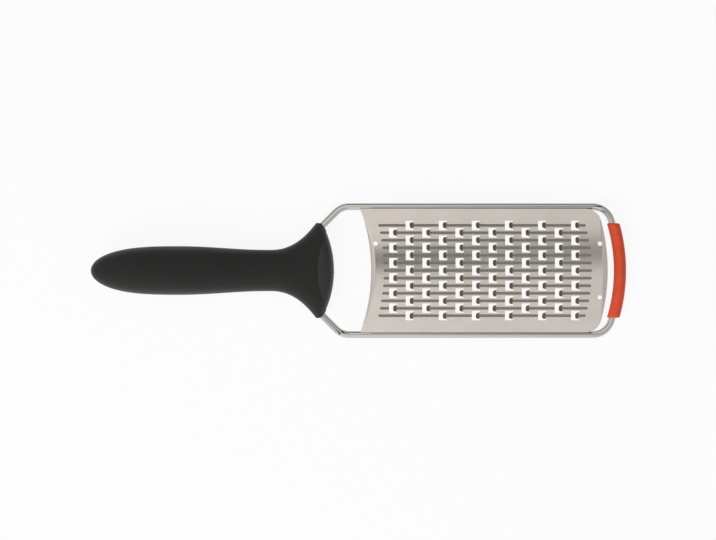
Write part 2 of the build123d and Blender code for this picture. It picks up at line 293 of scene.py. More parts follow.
class ZesterFinishes(PropertyGroup):
    """Colours of the zester's finishes."""

    steel: FloatVectorProperty(
        name="Steel", description="Satin sheet of the blade",
        subtype="COLOR", size=3, default=(0.805, 0.738, 0.676),
    )
    etched: FloatVectorProperty(
        name="Etched steel", description="Matte floor of the grooves",
        subtype="COLOR", size=3, default=(0.355, 0.326, 0.284),
    )
    wire: FloatVectorProperty(
        name="Wire", description="Polished wire", subtype="COLOR", size=3, default=(0.68, 0.657, 0.625)
    )
    grip: FloatVectorProperty(
        name="Grip", description="Soft black grip",
        subtype="COLOR", size=3, default=(0.0068, 0.0066, 0.0057),
    )
    insert: FloatVectorProperty(
        name="Insert", description="Hard black insert",
        subtype="COLOR", size=3, default=(0.03, 0.03, 0.0285),
    )
    foot: FloatVectorProperty(
        name="Foot", description="Orange-red foot", subtype="COLOR", size=3, default=(0.76, 0.084, 0.026)
    )


class ZesterStage(PropertyGroup):
    """The camera, the lamps and the floor."""

    view_width: FloatProperty(
        name="View width", description="Width that the picture takes in",
        default=415.3 * MM, unit="LENGTH",
    )
    lens: FloatProperty(name="Lens", description="Focal length in millimetres", default=200.0)
    room: FloatProperty(name="Room light", description="Level of the light all round", default=0.85)
    lamp: FloatProperty(
        name="Lamp power", description="Power of the stronger soft lamp", default=11.0, unit="POWER"
    )
    floor: FloatVectorProperty(
        name="Floor", description="Pale floor", subtype="COLOR", size=3, default=(0.9, 0.9, 0.9)
    )


# Modelling helpers


def let_go():
    """Leaves nothing selected, so that an operator acts only on what comes next."""
    if bpy.context.object and bpy.context.object.mode != "OBJECT":
        bpy.ops.object.mode_set(mode="OBJECT")
    bpy.ops.object.select_all(action="DESELECT")


def hold(*pieces):
    """Selects these pieces alone, with the first one active."""
    let_go()
    for piece in pieces:
        piece.select_set(True)
    bpy.context.view_layer.objects.active = pieces[0]


def pick(piece, test, kind="VERT"):
    """Selects the vertices whose place passes a test, or the faces whose middle and normal do."""
    hold(piece)
    bpy.ops.object.mode_set(mode="EDIT")
    bpy.ops.mesh.select_mode(type=kind)
    bpy.ops.mesh.select_all(action="DESELECT")
    bpy.ops.object.mode_set(mode="OBJECT")
    mesh = piece.data
    if kind == "VERT":
        for vertex in mesh.vertices:
            vertex.select = test(vertex.co)
    else:
        for face in mesh.polygons:
            face.select = test(face.center, face.normal)
    bpy.ops.object.mode_set(mode="EDIT")


def move(x=0.0, y=0.0, z=0.0):
    """Moves what is selected."""
    bpy.ops.transform.translate(value=(x, y, z))


def draw_out(x=0.0, y=0.0, z=0.0):
    """Extrudes what is selected."""
    bpy.ops.mesh.extrude_region_move(TRANSFORM_OT_translate={"value": (x, y, z)})


def close_up(gap=TOUCH):
    """Merges doubled vertices of the mesh in edit mode and turns its faces outwards."""
    bpy.ops.mesh.select_all(action="SELECT")
    bpy.ops.mesh.remove_doubles(threshold=gap)
    bpy.ops.mesh.normals_make_consistent(inside=False)


def trace(name, start, steps):
    """A filled outline from a start point: a step is a run (x, y) or an arc (x, y, turn, count)."""
    let_go()
    bpy.ops.mesh.primitive_plane_add(size=MM)
    piece = bpy.context.object
    piece.name = name
    bpy.ops.object.mode_set(mode="EDIT")
    bpy.ops.mesh.select_mode(type="VERT")
    bpy.ops.mesh.merge(type="CENTER")
    move(*start)
    for step in steps:
        if len(step) == 2:
            bpy.ops.mesh.extrude_vertices_move(TRANSFORM_OT_translate={"value": (*step, 0)})
        else:
            x, y, turn, count = step
            bpy.ops.mesh.spin(steps=count, angle=-turn, center=(x, y, 0), axis=(0, 0, 1))
    bpy.ops.mesh.select_all(action="SELECT")
    bpy.ops.mesh.remove_doubles(threshold=TOUCH)
    bpy.ops.mesh.edge_face_add()
    return piece


def raise_prism(piece, low, high):
    """Makes a filled outline on Z = 0 a solid between two heights."""
    bpy.ops.mesh.select_all(action="SELECT")
    move(z=low)
    draw_out(z=high - low)
    close_up()
    bpy.ops.object.mode_set(mode="OBJECT")
    return piece


def apply(piece, kind, **settings):
    """Adds a modifier with these settings and applies it."""
    hold(piece)
    modifier = piece.modifiers.new(kind.title(), kind)
    for name, value in settings.items():
        setattr(modifier, name, value)
    bpy.ops.object.modifier_apply(modifier=modifier.name)


def cut(piece, cutter, operation="DIFFERENCE"):
    """Cuts a piece with a cutter, whose material the new faces take, and deletes the cutter."""
    apply(piece, "BOOLEAN", operation=operation, solver="EXACT", object=cutter, material_mode="TRANSFER")
    hold(cutter)
    bpy.ops.object.delete()


def repeat(piece, count, x=0.0, y=0.0):
    """Repeats a piece along a line."""
    offset = (x, y, 0.0)
    apply(
        piece,
        "ARRAY",
        count=count,
        use_relative_offset=False,
        use_constant_offset=True,
        constant_offset_displace=offset,
    )


def weigh(piece, name, amount):
    """A vertex group that says how far each vertex is to move, as a share up to 1."""
    group = piece.vertex_groups.new(name=name)
    for vertex in piece.data.vertices:
        share = amount(vertex.co)
        if share > 0:
            group.add([vertex.index], share, "REPLACE")


def push(piece, name, axis, distance):
    """Moves a vertex group along an axis, each vertex by its share of the distance."""
    apply(piece, "DISPLACE", direction=axis, mid_level=0.0, strength=distance, vertex_group=name)
    piece.vertex_groups.clear()


def lay_down(piece):
    """Tips a finished piece on to the tool's belly and foot, with its place in its mesh."""
    sizes = bpy.context.scene.zester_handle
    belly = sizes.length * (BELLY_SHARE - 1)
    tilt = atan2(sizes.half_height - sizes.foot_radius, BOW_X - belly)
    piece.rotation_euler = (0, tilt, 0)
    piece.location = NOSE_TIP
    hold(piece)
    bpy.ops.object.transform_apply(location=True, rotation=True, scale=True)


def finish_piece(piece, name, node, angle):
    """Names, smooths and seats a piece that stands for a solid: edges sharper than the angle stay."""
    piece.name = name
    piece.data.name = name
    hold(piece)
    bpy.ops.object.shade_smooth_by_angle(angle=radians(angle))
    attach(piece, "root")
    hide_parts(node)


def sag(radius, across):
    """How far a circle falls back from its tangent at a distance across."""
    return radius - sqrt(radius**2 - across**2)


def bow(depth, reach):
    """Radius of an arc that sags by a depth at a distance reach from its middle."""
    return (reach**2 + depth**2) / (2 * depth)


# Finishes


class Nodes:
    """A node tree under way, and a short way to add nodes to it."""

    def __init__(self, owner):
        owner.use_nodes = True
        self.tree = owner.node_tree

    def set(self, node, inputs):
        """Gives a node's inputs their values, or links them to another node's output."""
        for name, value in inputs.items():
            if isinstance(value, bpy.types.NodeSocket):
                self.tree.links.new(value, node.inputs[name])
            else:
                node.inputs[name].default_value = value

    def add(self, kind, inputs=None, **settings):
        """Adds a node with its settings and inputs."""
        node = self.tree.nodes.new("ShaderNode" + kind)
        for name, value in settings.items():
            setattr(node, name, value)
        self.set(node, inputs or {})
        return node


class Finish(Nodes):
    """A material under way, with its shader and the patterns that finishes are made of."""

    def __init__(self, name, colour, metallic=0.0, roughness=0.5):
        self.material = bpy.data.materials.new(name)
        super().__init__(self.material)
        self.shader = self.tree.nodes["Principled BSDF"]
        self.set(self.shader, {"Base Color": (*colour, 1), "Metallic": metallic, "Roughness": roughness})

    def place(self, scale=(1, 1, 1)):
        """The point on the object, stretched for a pattern."""
        here = self.add("TexCoord").outputs["Object"]
        return self.add("Mapping", {"Vector": here, "Scale": scale}).outputs["Vector"]

    def noise(self, size, stretch=(1, 1, 1), detail=2.0):
        """Noise with features of a size in metres, longer along an axis with a stretch over 1."""
        scale = tuple(1 / (size * s) for s in stretch)
        spot = self.place(scale)
        return self.add("TexNoise", {"Vector": spot, "Scale": 1.0, "Detail": detail}).outputs["Fac"]

    def spread(self, value, low, high, start=0.3, end=0.7):
        """A value from 0 to 1 spread between two levels."""
        inputs = {"Value": value, "From Min": start, "From Max": end, "To Min": low, "To Max": high}
        return self.add("MapRange", inputs).outputs["Result"]

    def blend(self, share, first, second):
        """Two colours blended by a share."""
        node = self.add("Mix", data_type="RGBA")
        node.inputs["Factor"].default_value = 0
        self.tree.links.new(share, node.inputs["Factor"])
        colours = [socket for socket in node.inputs if socket.type == "RGBA"]
        for socket, colour in zip(colours, (first, second)):
            socket.default_value = (*colour, 1)
        return next(socket for socket in node.outputs if socket.type == "RGBA")

    def bump(self, height, depth, strength=1.0):
        """Bumps the surface by a height map that is so deep, in metres."""
        inputs = {"Height": height, "Distance": depth, "Strength": strength}
        self.set(self.shader, {"Normal": self.add("Bump", inputs).outputs["Normal"]})


def toned(colour, level):
    """A colour made lighter or darker."""
    return tuple(min(1.0, channel * level) for channel in colour)


def satin_steel(colour):
    """Brushed stainless sheet: a fine grain along the blade, and a slight cloudiness."""
    steel = Finish("satin_steel", colour, metallic=1.0)
    grain = steel.noise(0.12 * MM, stretch=(40, 1, 1), detail=3)
    clouds = steel.noise(14 * MM, stretch=(1.6, 1, 1), detail=3)
    tone = steel.blend(steel.spread(clouds, 0, 1), toned(colour, 0.95), toned(colour, 1.04))
    rough = steel.spread(grain, 0.16, 0.22)
    steel.set(steel.shader, {"Base Color": tone, "Roughness": rough, "Anisotropic": 0.4})
    steel.bump(grain, 0.004 * MM, 0.5)
    return steel.material


def etched_steel(colour, name="etched_steel"):
    """The matte, finely pitted floor and walls that the acid leaves."""
    etched = Finish(name, colour, metallic=1.0, roughness=0.55)
    pits = etched.noise(0.15 * MM, detail=3)
    tone = etched.blend(etched.spread(pits, 0, 1), toned(colour, 0.8), toned(colour, 1.25))
    etched.set(etched.shader, {"Base Color": tone, "Roughness": etched.spread(pits, 0.5, 0.65)})
    etched.bump(pits, 0.01 * MM, 0.6)
    return etched.material


def polished_wire(colour):
    """Polished stainless wire with faint lines from drawing, and painted shade on the rails beside the
    blade's edge.
    """
    wire = Finish("polished_wire", colour, metallic=1.0, roughness=0.1)
    spot = wire.add("SeparateXYZ", {"Vector": wire.place()}).outputs
    side = wire.add("Math", {0: spot["Y"]}, operation="ABSOLUTE").outputs[0]
    # Painted shade: the rails are darkened along the blade's edge, between the blade's two ends
    contact_shade = wire.spread(side, 1, 0, CONTACT_SHADE_Y, CONTACT_SHADE_Y + CONTACT_SHADE_FADE)
    sizes = bpy.context.scene.zester_blade
    contact_shade_start = NOSE_TIP[0] + BLADE_START
    contact_shade_end = NOSE_TIP[0] + (BLADE_START + sizes.length - sizes.corner)
    for end, compare in ((contact_shade_start, "GREATER_THAN"), (contact_shade_end, "LESS_THAN")):
        along = wire.add("Math", {0: spot["X"], 1: end}, operation=compare).outputs[0]
        contact_shade = wire.add("Math", {0: contact_shade, 1: along}, operation="MULTIPLY").outputs[0]
    wire.set(wire.shader, {"Base Color": wire.blend(contact_shade, colour, toned(colour, CONTACT_SHADE_TONE))})
    lines = wire.noise(0.2 * MM, stretch=(60, 1, 1), detail=2)
    wire.set(wire.shader, {"Roughness": wire.spread(lines, 0.05, 0.11)})
    wire.set(wire.shader, {"Specular Tint": (0.35, 0.35, 0.35, 1)})
    wire.bump(lines, 0.002 * MM, 0.4)
    return wire.material


def soft_grip(colour):
    """Soft-touch rubber: a very fine matte texture with a faint bloom from handling."""
    grip = Finish("soft_grip", colour, roughness=0.55)
    texture = grip.noise(0.35 * MM, detail=2)
    bloom = grip.noise(16 * MM, stretch=(1.5, 1, 1), detail=3)
    tone = grip.blend(grip.spread(bloom, 0, 1), toned(colour, 0.85), toned(colour, 1.3))
    grip.set(grip.shader, {"Base Color": tone, "Roughness": grip.spread(bloom, 0.5, 0.6)})
    grip.set(grip.shader, {"Specular IOR Level": 0.25, "Sheen Weight": 0.2, "Sheen Roughness": 0.6})
    grip.bump(texture, 0.02 * MM, 0.5)
    return grip.material


def hard_insert(colour):
    """Hard moulded plastic with a satin spark texture."""
    insert = Finish("hard_insert", colour, roughness=0.4)
    spark = insert.noise(0.25 * MM, detail=2)
    tone = insert.blend(insert.spread(spark, 0, 1), toned(colour, 0.9), toned(colour, 1.15))
    insert.set(insert.shader, {"Base Color": tone, "Roughness": insert.spread(spark, 0.36, 0.46)})
    insert.set(insert.shader, {"Specular IOR Level": 0.4})
    insert.bump(spark, 0.01 * MM, 0.5)
    return insert.material


def foot_rubber(colour):
    """Satin orange-red elastomer."""
    rubber = Finish("foot_rubber", colour, roughness=0.42)
    mottle = rubber.noise(5 * MM, detail=3)
    texture = rubber.noise(0.3 * MM, detail=2)
    tone = rubber.blend(rubber.spread(mottle, 0, 1), toned(colour, 0.93), toned(colour, 1.06))
    rubber.set(rubber.shader, {"Base Color": tone, "Roughness": rubber.spread(mottle, 0.38, 0.48)})
    rubber.set(rubber.shader, {"Specular IOR Level": 0.35})
    rubber.bump(texture, 0.01 * MM, 0.5)
    return rubber.material


def give(piece, *materials):
    """Gives a piece its materials in place of the ones it came with."""
    piece.data.materials.clear()
    for material in materials:
        piece.data.materials.append(material)


# Pieces


def handle_section(share):
    """Half width and half height of the handle's ellipse at a share of its length."""
    sizes = bpy.context.scene.zester_handle
    tail = sqrt(1 - max(0, 1 - share / BELLY_SHARE) ** 3)
    along = min(max(0, (share - BELLY_SHARE) / (NECK_SHARE - BELLY_SHARE)), 1)
    necking = along**2 * (3 - 2 * along)
    flare = max(0, (share - FLARE_START_SHARE) / (FLARE_END_SHARE - FLARE_START_SHARE))
    half_width = tail * (sizes.half_width + necking * (sizes.neck_half_width - sizes.half_width))
    half_height = tail * (sizes.half_height + necking * (sizes.neck_half_height - sizes.half_height))
    half_width += sizes.flare * flare**FLARE_POWER
    half_height += sizes.flare_rise * flare**2
    return half_width, half_height


def ringed_body(name, stations, sides):
    """A closed body drawn out through elliptical rings: a station is (x, half width, half height)."""
    let_go()
    bpy.ops.mesh.primitive_circle_add(vertices=sides, radius=1, fill_type="NGON")
    body = bpy.context.object
    body.name = name
    bpy.ops.object.mode_set(mode="EDIT")
    bpy.ops.mesh.select_mode(type="FACE")
    bpy.ops.mesh.select_all(action="SELECT")
    bpy.ops.transform.rotate(value=pi / 2, orient_axis="Y", center_override=(0, 0, 0))
    x, width, height = stations[0]
    bpy.ops.transform.resize(value=(1, width, height), center_override=(0, 0, 0))
    move(x)
    for next_x, next_width, next_height in stations[1:]:
        draw_out(next_x - x)
        scale = (1, next_width / width, next_height / height)
        bpy.ops.transform.resize(value=scale, center_override=(next_x, 0, 0))
        x, width, height = next_x, next_width, next_height
    close_up()
    bpy.ops.object.mode_set(mode="OBJECT")
    return body


def nose_plan(set_back):
    """The nose's outline seen from above, as a prism: a bowed front between two rounded corners."""
    half = NOSE_HALF_WIDTH - set_back
    corner_y = NOSE_HALF_WIDTH - NOSE_CORNER
    reach = NOSE_SWEEP - NOSE_CORNER
    corner_x = sqrt(reach**2 - corner_y**2) - NOSE_SWEEP
    lean = asin(corner_y / reach)
    start_x = -NOSE_BLOCK - PAST_NOSE
    steps = [
        (corner_x - start_x, 0),
        (corner_x, -corner_y, pi / 2 - lean, NOSE_CORNER_STEPS),
        (-NOSE_SWEEP, 0, 2 * lean, NOSE_FRONT_STEPS),
        (corner_x, corner_y, pi / 2 - lean, NOSE_CORNER_STEPS),
        (start_x - corner_x, 0),
    ]
    plan = trace("plan", (start_x, -half), steps)
    return raise_prism(plan, -2 * NOSE_HALF_HEIGHT, 2 * NOSE_HALF_HEIGHT)


def ahead_of_nose(set_back=0.0):
    """The space round the nose: a block less the lens that the nose's rounded edge sweeps out."""
    inner = NOSE_SWEEP - NOSE_DEPTH
    height = NOSE_HALF_HEIGHT - set_back
    runs = [(inner - NOSE_HUB, 0), (inner, 0, -pi, NOSE_EDGE_STEPS), (NOSE_HUB - inner, 0)]
    lens = trace("lens", (NOSE_HUB, height), runs)
    pick(lens, lambda co: co.x > inner + TOUCH)
    stretch = (NOSE_DEPTH - set_back) / height
    bpy.ops.transform.resize(value=(stretch, 1, 1), center_override=(inner, 0, 0))
    bpy.ops.mesh.select_all(action="SELECT")
    bpy.ops.transform.rotate(value=pi / 2, orient_axis="X", center_override=(0, 0, 0))
    bpy.ops.transform.rotate(value=pi / 4, orient_axis="Z", center_override=(0, 0, 0))
    turn = pi / 2 if max(v.co.y for v in lens.data.vertices) <= 0 else -pi / 2
    bpy.ops.mesh.spin(steps=NOSE_TURN_STEPS, angle=turn, center=(0, 0, 0), axis=(0, 0, 1))
    bpy.ops.mesh.select_all(action="SELECT")
    move(-NOSE_SWEEP)
    close_up()
    cut(lens, nose_plan(set_back), "INTERSECT")
    let_go()
    bpy.ops.mesh.primitive_cube_add(size=1)
    block = bpy.context.object
    bpy.ops.object.mode_set(mode="EDIT")
    ahead, width, height = NOSE_SPACE
    bpy.ops.transform.resize(value=(NOSE_BLOCK + ahead, width, height))
    move(ahead - (NOSE_BLOCK + ahead) / 2)
    bpy.ops.object.mode_set(mode="OBJECT")
    cut(block, lens)
    return block


def rod(radius, length, place, turn, sides):
    """A round rod about a place: upright, or turned by three angles."""
    let_go()
    bpy.ops.mesh.primitive_cylinder_add(
        vertices=sides, radius=radius, depth=length, location=place, rotation=turn
    )
    bpy.ops.object.transform_apply(location=True, rotation=True, scale=True)
    return bpy.context.object


def grip_stations():
    """Stations along the grip, close together at its rounded tail and in its flare."""
    length = bpy.context.scene.zester_handle.length
    neck = FLARE_START_SHARE - BELLY_SHARE
    flare = FLARE_END_SHARE - FLARE_START_SHARE
    shares = [BELLY_SHARE * (i / TAIL_RINGS) ** TAIL_CROWDING for i in range(1, TAIL_RINGS + 1)]
    shares += [BELLY_SHARE + neck * i / NECK_RINGS for i in range(1, NECK_RINGS + 1)]
    shares += [FLARE_START_SHARE + flare * i / FLARE_RINGS for i in range(1, FLARE_RINGS + 1)]
    stations = [(length * (share - 1), *handle_section(share)) for share in shares]
    return stations + [(PAST_NOSE, *stations[-1][1:])]


def pocket():
    """The hollow that the insert fills: its stem, and a fan short of the flare's corners."""
    length = bpy.context.scene.zester_handle.length
    stations = []
    for i in range(POCKET_RINGS + 1):
        along = i / POCKET_RINGS
        share = FLARE_START_SHARE + along * (FLARE_END_SHARE - FLARE_START_SHARE)
        wall = NECK_WALL + along * (RIM_WALL - NECK_WALL) - MOULD_GAP
        width, height = handle_section(share)
        stations.append((length * (share - 1), width - wall, height - wall))
    rear = (length * (STEM_END_SHARE - 1) - MOULD_GAP, *stations[0][1:])
    hollow = ringed_body("pocket", [rear] + stations + [(PAST_NOSE, *stations[-1][1:])], GRIP_SIDES)
    cut(hollow, ahead_of_nose(RIM_WALL - MOULD_GAP))
    return hollow


def row_list():
    """The rows, counted from the middle one."""
    half = bpy.context.scene.zester_blade.rows // 2
    return range(-half, half + 1)


def first_opening(row):
    """Where a row's first opening starts: every other row is shifted by half a pitch."""
    shift = bpy.context.scene.zester_blade.tooth_pitch / 2 if row % 2 == 0 else 0
    return BLADE_START + FIRST_OPENING + shift


def tooth_lines():
    """Places of the lines across the blade at which each tooth bends, and of one just past its root."""
    sizes = bpy.context.scene.zester_blade
    roots = [
        first_opening(1) + column * sizes.tooth_pitch / 2 + sizes.opening_length
        for column in range(2 * sizes.teeth)
    ]
    return [root - back for root in roots for back in TOOTH_BENDS]


def blade_lines():
    """Places of the lines across the flat sheet: close at the lips, and where each tooth bends."""
    sizes = bpy.context.scene.zester_blade
    end = BLADE_START + sizes.length
    lines = [FIRST_LINE + i * LINE_STEP for i in range(START_LINES)]
    return lines + tooth_lines() + [end + PAST_END - i * LINE_STEP for i in reversed(range(END_LINES))]


def flat_sheet(width):
    """The flat sheet, its upper face on Z = 0, with a grid fine enough to bend."""
    sizes = bpy.context.scene.zester_blade
    lines = blade_lines()
    let_go()
    bpy.ops.mesh.primitive_grid_add(x_subdivisions=1, y_subdivisions=SHEET_STRIPS, size=1)
    sheet = bpy.context.object
    bpy.ops.object.mode_set(mode="EDIT")
    bpy.ops.mesh.select_all(action="SELECT")
    bpy.ops.transform.resize(value=(lines[1] - lines[0], width, 1), center_override=(0, 0, 0))
    move((lines[0] + lines[1]) / 2)
    pick(sheet, lambda co: co.x > lines[1] - TOUCH)
    for here, there in zip(lines[1:], lines[2:]):
        draw_out(there - here)
    bpy.ops.object.mode_set(mode="OBJECT")
    apply(sheet, "SOLIDIFY", thickness=sizes.sheet, offset=-1.0)
    return sheet


def blade_outline(width):
    """The blade's flat outline as a prism: hollow at the handle, bowed and round at the foot."""
    sizes = bpy.context.scene.zester_blade
    half = width / 2
    end = BLADE_START + sizes.length
    start_radius = bow(sag(sizes.start_bow, sizes.half_width), half)
    end_radius = bow(sag(sizes.end_bow, sizes.half_width), half)
    corner = sizes.corner
    corner_y = half - corner
    corner_x = end - end_radius + sqrt((end_radius - corner) ** 2 - corner_y**2)
    lean = asin(corner_y / (end_radius - corner))
    start_x = BLADE_START - sag(start_radius, half)
    reach = asin(half / start_radius)
    steps = [
        (corner_x - start_x, 0),
        (corner_x, -corner_y, pi / 2 - lean, CORNER_STEPS),
        (end - end_radius, 0, 2 * lean, BOW_STEPS),
        (corner_x, corner_y, pi / 2 - lean, CORNER_STEPS),
        (start_x - corner_x, 0),
        (BLADE_START - start_radius, 0, -2 * reach, BOW_STEPS),
    ]
    return raise_prism(trace("outline", (start_x, -half), steps), -OUTLINE_REACH, OUTLINE_REACH)


def c_opening():
    """One opening: a bar across the row, and an arm with a round end on each side of the tooth."""
    sizes = bpy.context.scene.zester_blade
    half = sizes.opening_width / 2
    length = sizes.opening_length
    root_half = half - ARM_WIDTH
    corner = OPENING_CORNER
    arm_end = ARM_WIDTH / 2
    nose = TOOTH_NOSE_ROUND
    lean = (root_half - TOOTH_TIP_HALF) / (length - BAR_WIDTH)
    shoulder_half = TOOTH_TIP_HALF + lean * nose
    steps = [
        (length - corner - arm_end, 0),
        (length - arm_end, -half + arm_end, pi, ARM_STEPS),
        (BAR_WIDTH + nose - (length - arm_end), root_half - shoulder_half),
        (BAR_WIDTH + nose, -shoulder_half + nose, -pi / 2, TOOTH_NOSE_STEPS),
        (0, 2 * (shoulder_half - nose)),
        (BAR_WIDTH + nose, shoulder_half - nose, -pi / 2, TOOTH_NOSE_STEPS),
        (length - arm_end - BAR_WIDTH - nose, root_half - shoulder_half),
        (length - arm_end, half - arm_end, pi, ARM_STEPS),
        (corner + arm_end - length, 0),
        (corner, half - corner, pi / 2, OPENING_CORNER_STEPS),
        (0, 2 * (corner - half)),
        (corner, corner - half, pi / 2, OPENING_CORNER_STEPS),
    ]
    return raise_prism(trace("opening", (corner, -half), steps), -PUNCH_REACH, PUNCH_REACH)


def all_openings():
    """Every opening of the blade and its three small round holes, as one cutter."""
    sizes = bpy.context.scene.zester_blade
    cutters = []
    for parity in (0, 1):
        rows = [row for row in row_list() if row % 2 == parity]
        cutter = c_opening()
        hold(cutter)
        bpy.ops.object.mode_set(mode="EDIT")
        bpy.ops.mesh.select_all(action="SELECT")
        move(first_opening(rows[0]), rows[0] * sizes.row_pitch)
        repeat(cutter, sizes.teeth, x=sizes.tooth_pitch)
        repeat(cutter, len(rows), y=2 * sizes.row_pitch)
        cutters.append(cutter)
    end = BLADE_START + sizes.length
    hole_y = sizes.arch_radius * asin(HOLE_Y / sizes.arch_radius)
    start_hole = BLADE_START + START_HOLE_MARGIN
    end_hole = end - END_HOLE_MARGIN
    for x, y in ((start_hole, hole_y), (end_hole, hole_y), (end_hole, -hole_y)):
        cutters.append(rod(sizes.hole_radius, 2 * PUNCH_REACH, (x, y, 0), (0, 0, 0), HOLE_SIDES))
    hold(*cutters)
    bpy.ops.object.join()
    return cutters[0]


def all_grooves():
    """The etched grooves of every row, as one cutter."""
    sizes = bpy.context.scene.zester_blade
    half = sizes.groove_width / 2
    end = BLADE_START + sizes.length
    slots = []
    for row in row_list():
        along = row * sizes.row_pitch
        y = sizes.arch_radius * sin(along / sizes.arch_radius)
        left = BLADE_START + GROOVE_START_MARGIN - sag(sizes.start_bow + GROOVE_START_MARGIN, y) + half
        right = end - GROOVE_END_MARGIN - sag(sizes.end_bow - GROOVE_END_MARGIN, y) - half
        steps = [
            (right - left, 0),
            (right, along, pi, GROOVE_STEPS),
            (left - right, 0),
            (left, along, pi, GROOVE_STEPS),
        ]
        slots.append(raise_prism(trace("groove", (left, along - half), steps), -sizes.groove_depth, MM))
    hold(*slots)
    bpy.ops.object.join()
    bpy.ops.object.mode_set(mode="EDIT")
    for line in tooth_lines():
        bpy.ops.mesh.select_all(action="SELECT")
        bpy.ops.mesh.bisect(plane_co=(line, 0, 0), plane_no=(1, 0, 0))
    bpy.ops.object.mode_set(mode="OBJECT")
    return slots[0]


def tooth_share(co):
    """How far along a tooth a place on the flat sheet lies: 0 off it or at its root, 1 at its tip."""
    sizes = bpy.context.scene.zester_blade
    row = round(co.y / sizes.row_pitch)
    root_half = sizes.opening_width / 2 - ARM_WIDTH
    if abs(row) > sizes.rows // 2 or abs(co.y - row * sizes.row_pitch) > root_half + SLACK:
        return 0
    root = first_opening(row) + sizes.opening_length
    column = round((co.x - root) / sizes.tooth_pitch + NEXT_TOOTH)
    back = root + column * sizes.tooth_pitch - co.x
    reach = sizes.opening_length - BAR_WIDTH
    if not 0 <= column < sizes.teeth or not 0 < back < reach + SLACK:
        return 0
    return back / reach


def on_tip(middle, normal):
    """Whether a face lies on top of a tooth's tip, whose etched steel is darkened further as painted
    shade.
    """
    return normal.z > TIP_FACING and tooth_share(middle) > TIP_SHARE


def tooth_height(co):
    """How far a vertex of the flat sheet rises with its tooth, in millimetres."""
    sizes = bpy.context.scene.zester_blade
    share = tooth_share(co)
    if not share:
        return 0
    rise = sizes.tooth_rise * share**TOOTH_CURVE
    if co.z < -sizes.sheet / 2:
        rise += TIP_THINNING * share**3
    return rise / MM


def lip_drop(co):
    """How far a vertex of the flat sheet drops with its lip, in millimetres."""
    sizes = bpy.context.scene.zester_blade
    y = sizes.arch_radius * sin(co.y / sizes.arch_radius)
    end = BLADE_START + sizes.length
    start_fold = bow(START_LIP + sag(sizes.start_bow, START_LIP_REACH), START_LIP_REACH)
    end_fold = bow(sag(sizes.end_bow, END_LIP_REACH) - END_LIP, END_LIP_REACH)
    past_start = BLADE_START + START_LIP - sag(start_fold, y) - co.x
    past_end = co.x - (end - END_LIP - sag(end_fold, y))
    past = max(past_start, past_end)
    if past <= 0:
        return 0
    run = past**2 / (2 * FOLD_ROUND) if past < FOLD_ROUND else past - FOLD_ROUND / 2
    return run * LIP_SLOPE / MM


class ZESTER_OT_blade(Operator):
    """Etches, pierces and bends the grater's blade"""

    bl_idname = "zester.blade"
    bl_label = "Blade"

    def execute(self, context):
        """Cuts the flat sheet, raises its teeth, turns its lips down and arches it."""
        sizes = context.scene.zester_blade
        finishes = context.scene.zester_finishes
        steel = satin_steel(finishes.steel)
        etched = etched_steel(finishes.etched)
        # The teeth's tips: etched steel, darkened further as painted shade on their rising faces
        tip = etched_steel(toned(finishes.etched, TIP_SHADE_TONE), "shaded_etched_tip")
        width = 2 * sizes.arch_radius * asin(sizes.half_width / sizes.arch_radius)
        blade = flat_sheet(width + MM)
        give(blade, steel)
        outline = blade_outline(width)
        give(outline, etched)
        cut(blade, outline, "INTERSECT")
        openings = all_openings()
        give(openings, steel)
        cut(blade, openings)
        grooves = all_grooves()
        give(grooves, etched)
        cut(blade, grooves)

        blade.data.materials.append(tip)
        pick(blade, on_tip, "FACE")
        blade.active_material_index = len(blade.data.materials) - 1
        bpy.ops.object.material_slot_assign()
        bpy.ops.object.mode_set(mode="OBJECT")
        weigh(blade, "teeth", tooth_height)
        push(blade, "teeth", "Z", MM)
        weigh(blade, "lips", lambda co: lip_drop(co) / 2)
        push(blade, "lips", "Z", -2 * MM)

        blade.rotation_euler = (pi / 2, 0, 0)
        bpy.ops.object.transform_apply(location=True, rotation=True, scale=True)
        span = max(v.co.z for v in blade.data.vertices) - min(v.co.z for v in blade.data.vertices)
        arch = span / sizes.arch_radius
        apply(blade, "SIMPLE_DEFORM", deform_method="BEND", deform_axis="X", angle=arch)
        blade.rotation_euler = (-pi / 2, 0, 0)
        edge_z = sqrt(WIRE_RADIUS**2 - (RAIL_Y - sizes.half_width) ** 2)
        inner_radius = sizes.arch_radius - sizes.sheet
        blade.location.z = edge_z + sizes.arch_radius - sqrt(inner_radius**2 - sizes.half_width**2)
        bpy.ops.object.transform_apply(location=True, rotation=True, scale=True)
        lay_down(blade)
        finish_piece(blade, "etched_blade", "grater_blade", angle=28)
        return {"FINISHED"}


class ZESTER_OT_handle(Operator):
    """Draws out the soft grip and finishes the insert in it"""

    bl_idname = "zester.handle"
    bl_label = "Handle"

    def execute(self, context):
        """Trims the ringed grip to the nose and the crease, and hollows it for insert and wire."""
        finishes = context.scene.zester_finishes
        grip = ringed_body("grip", grip_stations(), GRIP_SIDES)
        give(grip, soft_grip(finishes.grip))
        cutters = [ahead_of_nose()]
        crease_place = (CREASE_RADIUS - CREASE_GAP, 0, 0)
        cutters.append(rod(CREASE_ROUND, CREASE_LENGTH, crease_place, (0, 0, 0), CREASE_SIDES))
        cutters.append(pocket())
        for side in (-1, 1):
            exit_place = (WIRE_EXIT[0] + MM, side * (WIRE_EXIT[1] + MM), 0)
            turn = (pi / 2, 0, -side * pi / 4)
            cutters.append(rod(WIRE_HOLE, WIRE_HOLE_LENGTH, exit_place, turn, WIRE_HOLE_SIDES))
        for cutter in cutters:
            give(cutter, grip.data.materials[0])
            cut(grip, cutter)
        hold(grip)
        bpy.ops.object.mode_set(mode="EDIT")
        close_up(SLACK)
        bpy.ops.object.mode_set(mode="OBJECT")
        lay_down(grip)
        finish_piece(grip, "soft_grip", "handle_grip", angle=35)
        give(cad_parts["handle_core"], hard_insert(finishes.insert))
        return {"FINISHED"}


